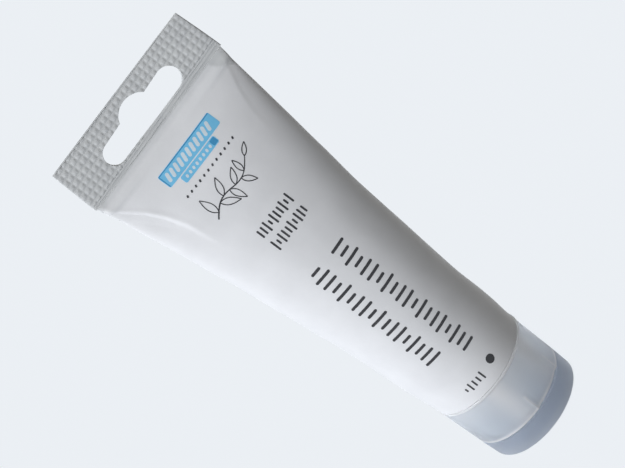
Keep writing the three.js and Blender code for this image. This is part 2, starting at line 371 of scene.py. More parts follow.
def waffle_relief(x, z):
    """The press's waffle: rows of small blunt pyramids, with plain ridges along the inner edge."""
    depth_in = TOP_Z - z + LINE_TILT * x
    row = (depth_in - WAFFLE_MARGIN) / WAFFLE_PITCH
    column = x / WAFFLE_PITCH
    across_from_peak = COLUMN_GROOVE * np.abs(column - np.floor(column) - 0.5)
    from_peak = np.maximum(across_from_peak, np.abs(row - np.floor(row) - 0.5)) * 2
    pyramid = WAFFLE_HEIGHT * np.clip(PYRAMID_BASE - from_peak, 0, PYRAMID_HEIGHT) / PYRAMID_HEIGHT
    rows_end = WAFFLE_MARGIN + WAFFLE_ROWS * WAFFLE_PITCH
    in_rows = 1 - smoothstep(rows_end - 0.2, rows_end, depth_in)
    wave = np.cos((depth_in - rows_end - RIDGE_OFFSET) * 2 * math.pi)
    ridges = RIDGE_HEIGHT * np.clip(wave, 0, 1)
    ridges_end = rows_end + RIDGES_DEPTH
    in_ridges = smoothstep(rows_end, rows_end + 0.1, depth_in)
    in_ridges = in_ridges * (1 - smoothstep(ridges_end - 0.1, ridges_end, depth_in))
    fade = smoothstep(SEAL_Z, SEAL_Z + 0.3, z)
    return (pyramid * in_rows + ridges * in_ridges) * fade


def film_surface(across, heights):
    """Film points with all their relief."""
    points, normals = film_grid(across, heights)
    flat_across = np.broadcast_to(across, points.shape[:2])
    z = points[:, :, 2]
    relief = crease_relief(flat_across, z) + soft_relief(flat_across, z)
    relief = relief * (z < SEAL_Z)
    relief = relief + np.where(z >= SEAL_Z, waffle_relief(points[:, :, 0], z), 0)
    side = (np.abs(normals[:, :, 0]) > SIDE_FACING) & (z >= SEAL_Z)
    wave = np.abs(np.sin((TOP_Z - z - WAFFLE_MARGIN) * math.pi / WAFFLE_PITCH))
    scallop = SCALLOP * wave - SCALLOP
    relief = np.where(side, scallop, relief)
    return points + normals * relief[:, :, None]


FILM_COLUMNS = 420
BODY_ROWS = 64
WEDGE_ROWS = 40
SEAL_ROWS = 63
INNER_ROWS = 16
WEDGE_START_Z = 121
BODY_END_Z = 120
SEAL_STEP = 0.02  # half the height over which the film steps into the seal
INNER_END = 3  # the inner wall stops this far below the seal
END_ROUND = 0.3
END_STEPS = 4
END_WALL = 1.15


def ring(angle, radius, z):
    """A round row of points at these angles from the front."""
    level = np.full(len(angle), z)
    return np.stack([radius * np.sin(angle), -radius * np.cos(angle), level], axis=1)


def sleeve_skin():
    """The sleeve with its welded tail: a thin shell, open at the round end, with the hang slot."""
    across = (np.arange(FILM_COLUMNS) / FILM_COLUMNS - 0.5) * GIRTH
    body_rows = np.linspace(ROUND_END_Z, BODY_END_Z, BODY_ROWS)
    wedge_rows = np.linspace(WEDGE_START_Z, SEAL_Z - SEAL_STEP, WEDGE_ROWS)
    seal_rows = np.linspace(SEAL_Z + SEAL_STEP, TOP_Z, SEAL_ROWS)
    outer = film_surface(across, np.concatenate([body_rows, wedge_rows, seal_rows]))
    inner_rows = np.linspace(ROUND_END_Z, SEAL_Z - INNER_END, INNER_ROWS)
    plain, plain_normals = film_grid(across, inner_rows)
    inner = plain - plain_normals * WALL

    curl = []
    for step in range(END_STEPS + 1):
        turn = math.radians(90 * step / END_STEPS)
        radius = TUBE_RADIUS - END_ROUND + END_ROUND * math.sin(turn)
        curl.append((radius, SLEEVE_LOW.z + END_ROUND - END_ROUND * math.cos(turn)))
    end_inner = TUBE_RADIUS - END_WALL
    lip = [(end_inner + 0.05, SLEEVE_LOW.z + 0.35), (end_inner, SLEEVE_LOW.z)]
    angle = across / TUBE_RADIUS

    rows = list(inner[::-1])
    rows += [ring(angle, *place) for place in lip + curl]
    rows += list(outer)
    points = np.concatenate(rows)
    faces = grid_faces(len(rows), FILM_COLUMNS)
    half = FILM_COLUMNS // 2

    def close(first, flip):
        """Closes the flat end of a row by joining its front to its back."""
        for i in range(half):
            a, b = first + i, first + i + 1
            c = first + (FILM_COLUMNS - i - 1) % FILM_COLUMNS
            d = first + (FILM_COLUMNS - i) % FILM_COLUMNS
            quad = [v for n, v in enumerate((a, b, c, d)) if v not in (a, b, c, d)[:n]]
            if len(quad) > 2:
                faces.append(tuple(quad[::-1] if flip else quad))

    close(0, False)
    close((len(rows) - 1) * FILM_COLUMNS, True)
    piece = new_piece("sleeve_skin", points, faces, None)
    cut_with(piece, slot_cutter())
    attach(piece, "tube")
    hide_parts("sleeve", "tail_seal")
    return piece


SLOT_BOTTOM_Z = 146.5
SLOT_TOP_LEFT_Z = 153.65
SLOT_TOP_RIGHT_Z = 154.4  # the slot was punched a little higher at its right end
SLOT_HALF_WIDTH = 15.9
HUMP_HALF_WIDTH = 5.4
HUMP_RISE = 3.0
SLOT_END_STEPS = 16
HUMP_STEPS = 20
CUTTER_REACH = 3


def slot_outline():
    """The hang slot as (x, z) points, anticlockwise, with a low round hump over its middle."""
    outline = []
    for end, top, start in ((1, SLOT_TOP_RIGHT_Z, -90), (-1, SLOT_TOP_LEFT_Z, 90)):
        radius = (top - SLOT_BOTTOM_Z) / 2
        middle = Vector((end * (SLOT_HALF_WIDTH - radius), SLOT_BOTTOM_Z + radius))
        for step in range(SLOT_END_STEPS + 1):
            turn = math.radians(start + 180 * step / SLOT_END_STEPS)
            outline.append((middle.x + radius * math.cos(turn), middle.y + radius * math.sin(turn)))
        if end > 0:
            crown = (SLOT_TOP_LEFT_Z + SLOT_TOP_RIGHT_Z) / 2 + HUMP_RISE
            radius = (HUMP_HALF_WIDTH**2 + HUMP_RISE**2) / (2 * HUMP_RISE)
            spread = math.asin(HUMP_HALF_WIDTH / radius)
            for step in range(HUMP_STEPS + 1):
                turn = spread - 2 * spread * step / HUMP_STEPS
                outline.append((radius * math.sin(turn), crown - radius * (1 - math.cos(turn))))
    return outline


def slot_cutter():
    outline = slot_outline()
    count = len(outline)
    points = [(x, y, z) for y in (-CUTTER_REACH, CUTTER_REACH) for x, z in outline]
    faces = [tuple(range(count)), tuple(range(2 * count - 1, count - 1, -1))]
    faces += [(i, i + count, (i + 1) % count + count, (i + 1) % count) for i in range(count)]
    return new_piece("slot_cutter", points, faces, None, smooth=False)


def cut_with(piece, cutter):
    """Subtracts a closed mesh from a piece and removes the cutter."""
    modifier = piece.modifiers.new("cut", "BOOLEAN")
    modifier.operation = "DIFFERENCE"
    modifier.solver = "EXACT"
    modifier.object = cutter
    bpy.context.view_layer.update()
    graph = bpy.context.evaluated_depsgraph_get()
    made = bpy.data.meshes.new_from_object(piece.evaluated_get(graph), depsgraph=graph)
    piece.modifiers.clear()
    piece.data = made
    bpy.data.objects.remove(cutter)


# ---------- closure, head ----------


RECESS_HALF_WIDTH = 7.1
RECESS_HEIGHT = 7.4
RECESS_DEPTH = 0.6
RECESS_WALL = 1.6
RECESS_LIP = 0.2
LIP_OFFSET = 0.2
LIP_WIDTH = 0.3
SKIN_DEPTH = 0.45  # the recess moves only points this near the skirt's outer face

DECK_Z = SEAM_Z + 1.4
SKIRT_WALL = 1.4
RIM_PROUD = 0.28  # the rim beside the sleeve stands out a little and catches the light
RIM_RISE = 0.22
SPIGOT_INNER_RADIUS = 14.45
SPIGOT_TIP_RADIUS = 15.25
SPIGOT_RADIUS = 15.45
SPIGOT_DEPTH = 1.5
SOCKET_RADIUS = 9.3
SOCKET_OUTER_RADIUS = 10.4
SOCKET_TOP_Z = 22.4
SNAP_RADIUS = 8.55
NOZZLE_BORE = 1.6
NOZZLE_TIP_RADIUS = 2.9
NOZZLE_ROOT_RADIUS = 3.4
INNER_PLUG_RADIUS = 2.2
INNER_PLUG_Z = 13.2


def skirt_radius(z):
    along = (z - SEAM_Z) / (CLOSURE_TOP_Z - SEAM_Z)
    return SEAM_RADIUS + (SKIRT_END_RADIUS - SEAM_RADIUS) * along


def on_recess(points):
    """How far points lie along the recess's width and out towards it."""
    cos, sin = math.cos(RECESS_DIRECTION), math.sin(RECESS_DIRECTION)
    return points[:, 0] * cos + points[:, 1] * sin, points[:, 0] * sin - points[:, 1] * cos


def pressed_recess(points):
    """Pushes the skirt's outer face in under the thumb: deepest at the seam, with a raised lip."""
    tangent, outward = on_recess(points)
    radius = np.hypot(points[:, 0], points[:, 1])
    z = points[:, 2]
    outer = (radius > skirt_radius(z) - SKIN_DEPTH) & (z > SEAM_Z - 0.2) & (outward > 0)
    aside = np.abs(tangent)
    sides = 1 - smoothstep(RECESS_HALF_WIDTH - RECESS_WALL, RECESS_HALF_WIDTH + 0.05, aside)
    lip = RECESS_LIP * np.exp(-(((aside - RECESS_HALF_WIDTH - LIP_OFFSET) / LIP_WIDTH) ** 2))
    fade = np.clip(1 - (z - SEAM_Z) / RECESS_HEIGHT, 0, 1) ** 0.7
    push = np.where(outer, (RECESS_DEPTH * sides - lip) * fade, 0)
    points = points.copy()
    points[:, 0] -= push * points[:, 0] / np.maximum(radius, 1)
    points[:, 1] -= push * points[:, 1] / np.maximum(radius, 1)
    return points


def closure_base():
    """Nozzle, spigot for the lid, skirt with its recess, and the socket that snaps on the neck."""
    rim_z = CLOSURE_TOP_Z + RIM_RISE
    rim_radius = SKIRT_END_RADIUS + RIM_PROUD
    skirt_steps = [(skirt_radius(z), z, 0) for z in np.linspace(SEAM_Z + 0.6, SEAM_Z + 8, 20)]
    profile = rounded([
        (NOZZLE_BORE, BASE_LOW.z, 0.3),
        (NOZZLE_TIP_RADIUS, BASE_LOW.z, 0.4),
        (NOZZLE_ROOT_RADIUS, SEAM_Z, 0.5),
        (SPIGOT_INNER_RADIUS, SEAM_Z, 0.4),
        (SPIGOT_INNER_RADIUS, SEAM_Z - SPIGOT_DEPTH, 0.2),
        (SPIGOT_TIP_RADIUS, SEAM_Z - SPIGOT_DEPTH, 0.3),
        (SPIGOT_RADIUS, SEAM_Z, 0.2),
        (SEAM_RADIUS, SEAM_Z, 0.25),
        *skirt_steps,
        (SKIRT_END_RADIUS - 0.02, CLOSURE_TOP_Z - 0.7, 0.1),
        (rim_radius, CLOSURE_TOP_Z - 0.4, 0.15),
        (rim_radius, rim_z, 0.3),
        (SKIRT_END_RADIUS - SKIRT_WALL, rim_z, 0.25),
        (SEAM_RADIUS - SKIRT_WALL, DECK_Z, 0.5),
        (SOCKET_OUTER_RADIUS, DECK_Z, 0.5),
        (SOCKET_OUTER_RADIUS, SOCKET_TOP_Z, 0.25),
        (SOCKET_RADIUS, SOCKET_TOP_Z, 0.3),
        (SNAP_RADIUS, SOCKET_TOP_Z - 0.5, 0.2),
        (SNAP_RADIUS, SOCKET_TOP_Z - 1.1, 0.2),
        (SOCKET_RADIUS, SOCKET_TOP_Z - 1.4, 0.2),
        (SOCKET_RADIUS, DECK_Z, 0.4),
        (INNER_PLUG_RADIUS, DECK_Z, 0.4),
        (INNER_PLUG_RADIUS, INNER_PLUG_Z, 0.25),
        (NOZZLE_BORE, INNER_PLUG_Z, 0.2),
    ], 0.2)
    points, faces = turned(profile, CLOSURE_SEGMENTS)
    piece = new_piece("flip_closure_base", pressed_recess(points), faces, "tube")
    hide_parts("closure_base")
    return piece


LID_WALL = 1.2
GATE_DIMPLE = 0.12  # where the plastic was let into the mould
COLLAR_TOP_Z = 3.3
PIN_TOP_Z = 6.6


def closure_lid():
    """A shallow cap with a low collar inside and a pin that stops the nozzle's bore."""
    inner = SEAM_RADIUS - LID_WALL
    profile = rounded([
        (0, GATE_DIMPLE),
        (3.2, GATE_DIMPLE, 1.5),
        (4.0, 0, 1.5),
        (LID_END_RADIUS, 0, 0.9),
        (SEAM_RADIUS, LID_HIGH.z, 0.3),
        (inner, LID_HIGH.z, 0.25),
        (inner - 0.75, LID_WALL, 0.6),
        (4.6, LID_WALL, 0.2),
        (4.5, COLLAR_TOP_Z, 0.2),
        (3.9, COLLAR_TOP_Z, 0.2),
        (3.8, LID_WALL, 0.2),
        (1.2, LID_WALL, 0.3),
        (0.9, PIN_TOP_Z, 0.35),
        (0, PIN_TOP_Z),
    ], 0.2)
    points, faces = turned(profile, CLOSURE_SEGMENTS)
    piece = new_piece("flip_lid", points, faces, "lid")
    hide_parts("lid")
    return piece


ORIFICE_RADIUS = 2.6
NECK_RADIUS = 8.2
NECK_BORE = 6.8
NECK_END_WALL = 1.4
BEAD_RADIUS = 9.0


def neck_and_shoulder():
    """The moulded head: a neck with a snap bead and an orifice, and the shoulder disc."""
    tip = HEAD_LOW.z
    top = HEAD_HIGH.z
    disc = TUBE_RADIUS - WALL - 0.3
    profile = rounded([
        (ORIFICE_RADIUS, tip, 0.3),
        (NECK_RADIUS, tip, 0.6),
        (NECK_RADIUS, 18.6, 0.2),
        (BEAD_RADIUS, 19.4, 0.3),
        (BEAD_RADIUS, 20.2, 0.3),
        (NECK_RADIUS, 21.0, 0.2),
        (NECK_RADIUS, 23.6, 0.6),
        (disc - 1.2, 24.3, 0.4),
        (disc, 25.0, 0.3),
        (disc, top, 0.3),
        (NECK_BORE + 0.6, top, 0.3),
        (NECK_BORE, top - 0.6, 0.2),
        (NECK_BORE, tip + NECK_END_WALL, 0.3),
        (ORIFICE_RADIUS, tip + NECK_END_WALL, 0.3),
    ], 0.2)
    points, faces = turned(profile, HEAD_SEGMENTS)
    piece = new_piece("neck_and_shoulder", points, faces, "tube")
    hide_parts("head")
    return piece


PAINT_COLUMNS = 180
PAINT_CLEARANCE = 0.3
PAINT_NECK_RADIUS = 6.5
PAINT_NECK_LENGTH = 13.4


def paint_mass():
    """The paint just inside the film and down in the neck, with its top below the seal."""
    base_z = PAINT_LOW.z
    body_rows = np.linspace(base_z + PAINT_NECK_LENGTH, BODY_END_Z, 50)
    wedge_rows = np.linspace(WEDGE_START_Z, PAINT_HIGH.z, 26)
    across = (np.arange(PAINT_COLUMNS) / PAINT_COLUMNS - 0.5) * GIRTH
    points, normals = film_grid(across, np.concatenate([body_rows, wedge_rows]))
    side = points - normals * (WALL + PAINT_CLEARANCE)
    angle = across / TUBE_RADIUS
    outline = [
        (0, base_z),
        (PAINT_NECK_RADIUS - 0.2, base_z),
        (PAINT_NECK_RADIUS, base_z + 0.3),
        (PAINT_NECK_RADIUS, body_rows[0]),
    ]
    neck = [ring(angle, *place) for place in outline]
    top = points[-1] * [0, 0, 1] + [0, 0, 0.3]
    rows = neck + list(side) + [top]
    faces = grid_faces(len(rows), PAINT_COLUMNS)
    piece = new_piece("paint_mass", np.concatenate(rows), faces, "tube")
    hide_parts("paint_fill")
    return piece


def rim_of(rows, columns):
    """The border of a rows by columns grid of points, in order."""
    rim = list(range(columns))
    rim += [j * columns + columns - 1 for j in range(1, rows)]
    rim += [(rows - 1) * columns + i for i in range(columns - 2, -1, -1)]
    rim += [j * columns for j in range(rows - 2, 0, -1)]
    return rim


def slab_faces(rows, columns):
    """Faces of a closed slab: a grid of points, the same grid behind it, and the rim between."""
    offset = rows * columns
    front = grid_faces(rows, columns, wrap=False)
    back = [tuple(offset + v for v in reversed(face)) for face in front]
    rim = rim_of(rows, columns)
    return front + back + [(a, b, b + offset, a + offset) for a, b in zip(rim, rim[1:] + rim[:1])]


def closure_radius(z):
    """The closure's outer radius at a height, on the base or on the lid."""
    if z > SEAM_Z:
        return skirt_radius(z)
    return SEAM_RADIUS + (LID_END_RADIUS - SEAM_RADIUS) * (SEAM_Z - z) / SEAM_Z


STRIP_ROWS = 25
STRIP_COLUMNS = 13
STRIP_THICKNESS = 0.3
BEND_WIDTH = 0.45


def hinge_strip(name, node, half_angle, half_height, middle_thin):
    """A moulded strip over the seam, thinned where it bends; it turns smoothly from base to lid."""
    low, high = box_mm(node)
    centre = (low + high) / 2
    direction = math.atan2(centre.x, -centre.y)
    front, back = [], []
    for j in range(STRIP_ROWS):
        v = -1 + 2 * j / (STRIP_ROWS - 1)
        z = HINGE_POINT.z + v * half_height
        wall = closure_radius(z)
        end = 1 - smoothstep(0.75, 1.0, abs(v))
        thin = 1 - middle_thin * math.exp(-((v * half_height / BEND_WIDTH) ** 2))
        for i in range(STRIP_COLUMNS):
            u = -1 + 2 * i / (STRIP_COLUMNS - 1)
            side = 1 - smoothstep(0.7, 1.0, abs(u))
            turn = direction + u * half_angle
            outer = wall + 0.02 + STRIP_THICKNESS * thin * (0.3 + 0.7 * end * side)
            for found, radius in ((front, outer), (back, wall - 0.05)):
                found.append((radius * math.sin(turn), -radius * math.cos(turn), z))
    faces = slab_faces(STRIP_ROWS, STRIP_COLUMNS)
    piece = new_piece(name, front + back, faces, None)
    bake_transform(piece)
    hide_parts(node)
    return piece


# ---------- materials ----------


FINE_DETAIL = 3


def node_material(name):
    material = bpy.data.materials.new(name)
    material.use_nodes = True
    nodes = material.node_tree.nodes
    links = material.node_tree.links
    return material, nodes, links, nodes["Principled BSDF"]


def noise_node(nodes, links, scale, detail=FINE_DETAIL):
    place = nodes.new("ShaderNodeTexCoord")
    noise = nodes.new("ShaderNodeTexNoise")
    noise.inputs["Scale"].default_value = scale
    noise.inputs["Detail"].default_value = detail
    links.new(place.outputs["Object"], noise.inputs["Vector"])
    return noise


def ramp_node(nodes, links, source, low, high):
    """Colours from low to high over the middle of the noise's range."""
    ramp = nodes.new("ShaderNodeValToRGB")
    for element, position, color in zip(ramp.color_ramp.elements, (0.3, 0.7), (low, high)):
        element.position = position
        element.color = (*color, 1)
    links.new(source, ramp.inputs["Fac"])
    return ramp


def tint_node(nodes, links, source, color, dark_share):
    """Drifts between a colour and a slightly darker one."""
    return ramp_node(nodes, links, source, tuple(dark_share * c for c in color), color)


def mask_mix(nodes, links, name, shader):
    """A mask stored on the mesh, and a mix of two base colours that it drives."""
    mask = nodes.new("ShaderNodeAttribute")
    mask.attribute_name = name
    mix = nodes.new("ShaderNodeMix")
    mix.data_type = "RGBA"
    links.new(mask.outputs["Fac"], mix.inputs["Factor"])
    links.new(mix.outputs["Result"], shader.inputs["Base Color"])
    return mask, mix


def mapped(nodes, links, source, at_zero, at_one, target):
    """Drives a shader socket: at_zero where the source is 0, at_one where it is 1."""
    spread = nodes.new("ShaderNodeMapRange")
    spread.inputs["To Min"].default_value = at_zero
    spread.inputs["To Max"].default_value = at_one
    links.new(source, spread.inputs["Value"])
    links.new(spread.outputs["Result"], target)


def bump_node(nodes, links, source, distance, shader, strength):
    bump = nodes.new("ShaderNodeBump")
    bump.inputs["Distance"].default_value = distance
    bump.inputs["Strength"].default_value = strength
    links.new(source, bump.inputs["Height"])
    links.new(bump.outputs["Normal"], shader.inputs["Normal"])


FILM_WHITE = (0.84, 0.84, 0.845), (0.89, 0.89, 0.895)
FILM_GREY = (0.60, 0.61, 0.61), (0.69, 0.70, 0.69)
FILM_IOR = 1.5


def film_material():
    """White where paint backs the film, translucent grey where it does not."""
    material, nodes, links, shader = node_material("sleeve_film")
    mottle = noise_node(nodes, links, 120, 4)
    white = ramp_node(nodes, links, mottle.outputs["Fac"], *FILM_WHITE)
    grey = ramp_node(nodes, links, mottle.outputs["Fac"], *FILM_GREY)
    _, mix = mask_mix(nodes, links, "unfilled", shader)
    links.new(white.outputs["Color"], mix.inputs["A"])
    links.new(grey.outputs["Color"], mix.inputs["B"])
    fine = noise_node(nodes, links, 900)
    mapped(nodes, links, fine.outputs["Fac"], 0.32, 0.5, shader.inputs["Roughness"])
    bump_node(nodes, links, fine.outputs["Fac"], 0.00004, shader, 0.3)
    shader.inputs["IOR"].default_value = FILM_IOR
    return material


def vertex_places(piece):
    """The piece's points in millimetres."""
    places = np.empty(len(piece.data.vertices) * 3, np.float32)
    piece.data.vertices.foreach_get("co", places)
    return places.reshape(-1, 3) / MM


def store_mask(piece, name, mask):
    """Keeps a number from 0 to 1 with each point, for a material to read."""
    attribute = piece.data.attributes.new(name, "FLOAT", "POINT")
    attribute.data.foreach_set("value", mask.astype(np.float32))


# Pockets under the seal's corners, as (x, z, half width, half height, full to, gone at, most).
POCKETS = [(27.5, 145.5, 6.3, 6.0, 0.88, 1.04, 0.9), (-27.0, 145.5, 3.6, 3.4, 0.7, 1.1, 0.55)]
THIN_PAINT = 0.28  # the paint gets thin just below the seal
THIN_REACH = 9


def mark_unfilled(piece):
    """Stores where no paint backs the film: the seal, and a pocket under each of its corners."""
    x, _, z = vertex_places(piece).T
    seal = smoothstep(SEAL_Z - 0.5, SEAL_Z + 0.1, z)
    pocket = 0
    for middle, height, wide, tall, full, gone, most in POCKETS:
        away = np.hypot((x - middle) / wide, (z - height) / tall)
        pocket = pocket + most * (1 - smoothstep(full, gone, away))
    thin = THIN_PAINT * smoothstep(SEAL_Z - THIN_REACH, SEAL_Z, z)
    store_mask(piece, "unfilled", np.clip(np.maximum(seal, np.maximum(pocket, thin)), 0, 1))


# Where the mask is full: real milkiness in thick plastic, and painted highlights and painted light.
MILK_AND_LIGHT_COLOR = (0.97, 0.965, 0.965, 1)
MILK_AND_LIGHT_ALPHA = 0.92
MILK_AND_LIGHT_TRANSMISSION = 0.4
FROSTED_IOR = 1.2


def closure_material(name, color, opacity, transmission):
    """Frosted translucent polypropylene, milkier where the wall is thick or backed, and whiter
    where highlights and light are painted into the same mask.
    """
    material, nodes, links, shader = node_material(name)
    cloud = noise_node(nodes, links, 60, 2)
    tint = tint_node(nodes, links, cloud.outputs["Fac"], color, 0.95)
    milk_and_painted_light, mix = mask_mix(nodes, links, "milk_and_painted_light", shader)
    links.new(tint.outputs["Color"], mix.inputs["A"])
    mix.inputs["B"].default_value = MILK_AND_LIGHT_COLOR
    milk_and_light_share, clearness = milk_and_painted_light.outputs["Fac"], shader.inputs["Transmission Weight"]
    mapped(nodes, links, milk_and_light_share, opacity, MILK_AND_LIGHT_ALPHA, shader.inputs["Alpha"])
    mapped(nodes, links, milk_and_light_share, transmission, MILK_AND_LIGHT_TRANSMISSION, clearness)
    fine = noise_node(nodes, links, 700)
    mapped(nodes, links, fine.outputs["Fac"], 0.34, 0.46, shader.inputs["Roughness"])
    bump_node(nodes, links, fine.outputs["Fac"], 0.00005, shader, 0.25)
    shader.inputs["IOR"].default_value = FROSTED_IOR
    return material


SOCKET_MILK = 0.75
# Painted highlight on the recess's side walls, lightening walls that the light leaves in shade.
RECESS_WALL_HIGHLIGHT = 0.9


def mark_milk_and_painted_light(piece, bands, highlight_streaks=(), socket=False, painted_recess_highlight=False):
    """Stores how milky each point looks, 0 to 1, together with painted highlights and painted
    light.

    A band is (height, full reach, end, most), in millimetres. A streak down the side is a painted
    highlight, as (degrees from the front towards +X, reach in degrees, most), and it fades towards
    the seam.
    """
    places = vertex_places(piece)
    z = places[:, 2]
    milk_and_painted_light = np.zeros(len(z))
    # Each band paints a lighter ring, a painted highlight or a painted glow.
    for height, reach, end, most in bands:
        milk_and_painted_light = np.maximum(milk_and_painted_light, most * (1 - smoothstep(reach, end, np.abs(z - height))))
    turn = np.degrees(np.arctan2(places[:, 0], -places[:, 1]))
    fade = 0.5 + 0.5 * np.clip((z - SEAM_Z) / (CLOSURE_TOP_Z - SEAM_Z), 0, 1)
    # Streaks of painted highlight down the side, fading towards the seam.
    for middle, reach, most in highlight_streaks:
        milk_and_painted_light = np.maximum(milk_and_painted_light, most * fade * np.exp(-(((turn - middle) / reach) ** 2)))
    if socket:
        radius = np.hypot(places[:, 0], places[:, 1])
        milk_and_painted_light = np.maximum(milk_and_painted_light, SOCKET_MILK * (radius < SOCKET_RADIUS + 1.5))
    # The recess's side walls get a painted highlight.
    if painted_recess_highlight:
        tangent, outward = on_recess(places)
        wall = 1 - smoothstep(0.25, 0.55, np.abs(np.abs(tangent) - RECESS_HALF_WIDTH))
        low = 1 - smoothstep(0.8, 1.0, (z - SEAM_Z) / RECESS_HEIGHT)
        milk_and_painted_light = np.maximum(milk_and_painted_light, RECESS_WALL_HIGHLIGHT * wall * low * (outward > 0))
    store_mask(piece, "milk_and_painted_light", milk_and_painted_light)


def plain_material(name, color, low, high):
    """An opaque colour, a little uneven, with a roughness from low to high."""
    material, nodes, links, shader = node_material(name)
    cloud = noise_node(nodes, links, 300)
    tint = tint_node(nodes, links, cloud.outputs["Fac"], color, 0.93)
    links.new(tint.outputs["Color"], shader.inputs["Base Color"])
    mapped(nodes, links, cloud.outputs["Fac"], low, high, shader.inputs["Roughness"])
    return material


def dress(piece, material):
    piece.data.materials.clear()
    piece.data.materials.append(material)


# ---------- print: thin inks laid on the film ----------
# Marks are drawn as strokes in film coordinates: (across, height).

INK_PROUD = 0.05
INK_DEPTH = 0.1  # the back of the ink lies inside the film
STROKE_STEP = 0.5
STROKE_COLUMN = 0.6
LEAST_HALF_WIDTH = 0.03
TABLE_ACROSS = np.linspace(-24, 24, 193)
TABLE_HEIGHTS = np.linspace(26, 142, 465)


def film_table():
    """Film points and their true normals on a fine grid, to lay ink on."""
    points = film_surface(TABLE_ACROSS, TABLE_HEIGHTS)
    along_across = np.gradient(points, TABLE_ACROSS, axis=1)
    along_height = np.gradient(points, TABLE_HEIGHTS, axis=0)
    normals = np.cross(along_across, along_height)
    return points, normals / np.linalg.norm(normals, axis=2, keepdims=True)


FILM_POINTS, FILM_NORMALS = film_table()


def table_place(values, steps):
    """The step of the table below each value, and the share of a step beyond it."""
    place = np.clip((values - steps[0]) / (steps[1] - steps[0]), 0, len(steps) - 1.001)
    below = np.floor(place).astype(int)
    return below, (place - below)[..., None]


def on_film(across, height, proud):
    """Points over the film at these film coordinates."""
    i0, fi = table_place(across, TABLE_ACROSS)
    j0, fj = table_place(height, TABLE_HEIGHTS)

    def mixed(table):
        low = table[j0, i0] * (1 - fi) + table[j0, i0 + 1] * fi
        high = table[j0 + 1, i0] * (1 - fi) + table[j0 + 1, i0 + 1] * fi
        return low * (1 - fj) + high * fj

    return mixed(FILM_POINTS) + mixed(FILM_NORMALS) * proud


class Ink:
    """Collects strokes of one colour and makes one piece of them."""

    def __init__(self, proud=INK_PROUD):
        self.proud = proud
        self.points = []
        self.faces = []
        self.count = 0

    def stroke(self, path, half_width, corner=0.2):
        """A closed thin ribbon along a path; half_width is one number, or one for each point."""
        path = np.array(path, float)
        gaps = np.hypot(*np.diff(path, axis=0).T)
        length = np.concatenate([[0], np.cumsum(gaps)])
        total = length[-1]
        half_width = np.broadcast_to(np.asarray(half_width, float), len(path))
        corner = min(corner, total / 2, half_width.max())
        middle = np.linspace(corner, total - corner, max(2, int(total / STROKE_STEP)))
        cap = corner * (1 - np.cos(np.linspace(0, math.pi / 2, 5)))[:-1]
        at = np.concatenate([cap, middle, (total - cap)[::-1]])
        x, z = (np.interp(at, length, path[:, k]) for k in (0, 1))
        wide = np.interp(at, length, half_width)
        from_end = np.clip(np.minimum(at, total - at), 0, corner)
        wide = wide - corner + np.sqrt(np.maximum(corner**2 - (corner - from_end) ** 2, 0))
        wide = np.maximum(wide, LEAST_HALF_WIDTH)
        tangent = np.stack([np.gradient(x, at), np.gradient(z, at)], axis=1)
        tangent /= np.linalg.norm(tangent, axis=1, keepdims=True)
        columns = max(3, int(2 * half_width.max() / STROKE_COLUMN) + 1)
        share = np.linspace(-1, 1, columns)
        px = x[:, None] - tangent[:, 1:2] * wide[:, None] * share
        pz = z[:, None] + tangent[:, 0:1] * wide[:, None] * share
        top = on_film(px, pz, self.proud).reshape(-1, 3)
        bottom = on_film(px, pz, -INK_DEPTH).reshape(-1, 3)
        faces = slab_faces(len(at), columns)
        self.faces += [tuple(self.count + v for v in face) for face in faces]
        self.points += [top, bottom]
        self.count += 2 * len(top)

    def piece(self, name, material):
        made = new_piece(name, np.concatenate(self.points), self.faces, "tube")
        dress(made, material)
        return made


def uneven(k):
    """A stroke's share of its row's height: a plain rhythm that spells nothing."""
    return 0.42 + 0.58 * abs(math.sin(1.9 * k + 0.6))


SPRIG_STEPS = 80
LEAF_ANGLE = 62
LEAF_FULLNESS = 0.17
LEAF_GAP = 0.01  # keeps the two edges of a leaf apart where they meet
# Leaves, as (share of the way along the stem, side).
LEAVES = [(0.10, 1), (0.22, -1), (0.34, 1), (0.46, -1), (0.58, 1), (0.70, -1), (0.82, 1), (1.0, 0)]


def draw_sprig(ink):
    """A curved stem with outlined leaves on alternate sides and one at its tip."""
    along = np.linspace(0, 1, SPRIG_STEPS)
    height = 117.4 + 5.2 * along + 1.5 * np.sin(2 * math.pi * along)
    stem = np.stack([-10.2 + 18.4 * along, height], axis=1)
    ink.stroke(stem, 0.21 - 0.08 * along, 0.12)
    for share, side in LEAVES:
        at = min(int(share * (SPRIG_STEPS - 1)), SPRIG_STEPS - 2)
        direction = stem[at + 1] - stem[at]
        turn = math.atan2(direction[1], direction[0]) + side * math.radians(LEAF_ANGLE)
        length = 6.4 - 2.6 * share
        forward = np.array([math.cos(turn), math.sin(turn)])
        across = np.array([-forward[1], forward[0]])
        for edge in (-1, 1):
            bulge = edge * (LEAF_GAP + LEAF_FULLNESS * length * np.sin(math.pi * along**0.8))
            outline = stem[at] + length * along[:, None] * forward + bulge[:, None] * across
            ink.stroke(outline, 0.14, 0.08)


def slanted_row(ink, count, pitch, low, high, half_width, corner):
    """A row of short strokes; the first goes from low to high."""
    for k in range(count):
        ink.stroke([(x + pitch * k, z) for x, z in (low, high)], half_width, corner)


